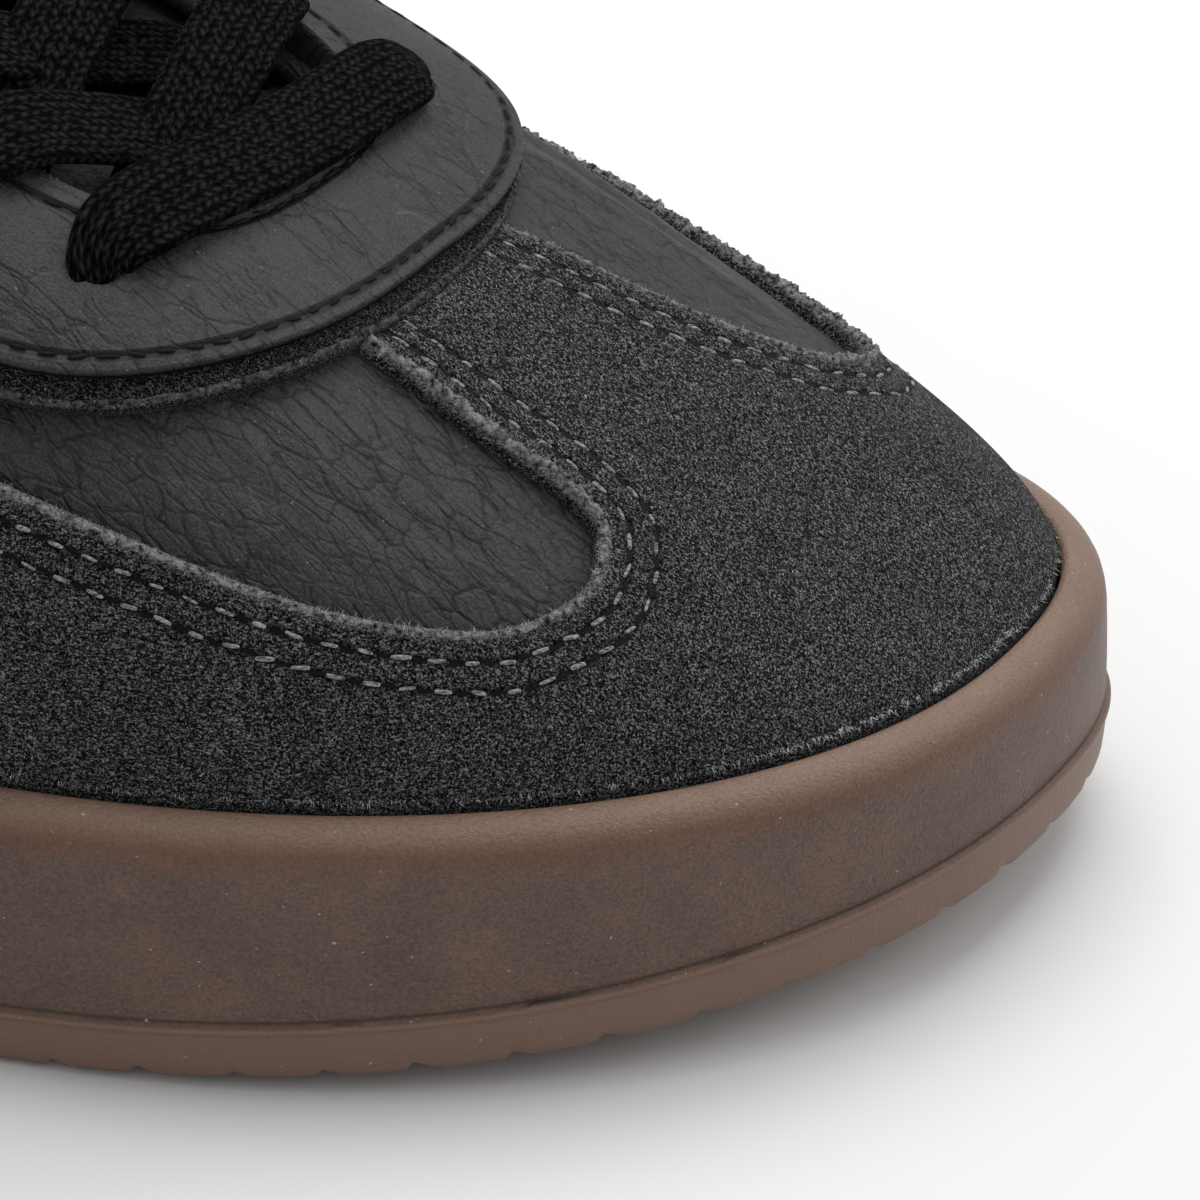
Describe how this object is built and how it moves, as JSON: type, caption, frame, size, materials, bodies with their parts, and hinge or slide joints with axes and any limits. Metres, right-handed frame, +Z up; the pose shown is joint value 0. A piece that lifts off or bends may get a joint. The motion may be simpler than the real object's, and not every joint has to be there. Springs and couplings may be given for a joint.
{
  "type": "sneaker",
  "caption": "Low right-foot lace-up sneaker with a black leather upper, suede toe overlay, flat black laces and a gum rubber cupsole.",
  "frame": {"origin": "centre of the shoe's bounding box, on the plane that the sole stands on", "axes": "+X from heel to toe, +Y to the inner side of the foot, +Z up"},
  "size_m": [0.2849, 0.1061, 0.1175],
  "materials": {
    "gum": "satin",
    "leather": "semi-matte grain",
    "suede": "napped suede",
    "cotton": "flat woven",
    "sockliner": "brushed"
  },
  "bodies": {
    "root": {"cupsole": "gum", "insole": "sockliner", "upper": "leather", "toe_overlay": "suede", "eyestay_trim": "suede", "eyestay": "leather", "tongue": "leather", "laces": "cotton"}
  },
  "joints": []
}
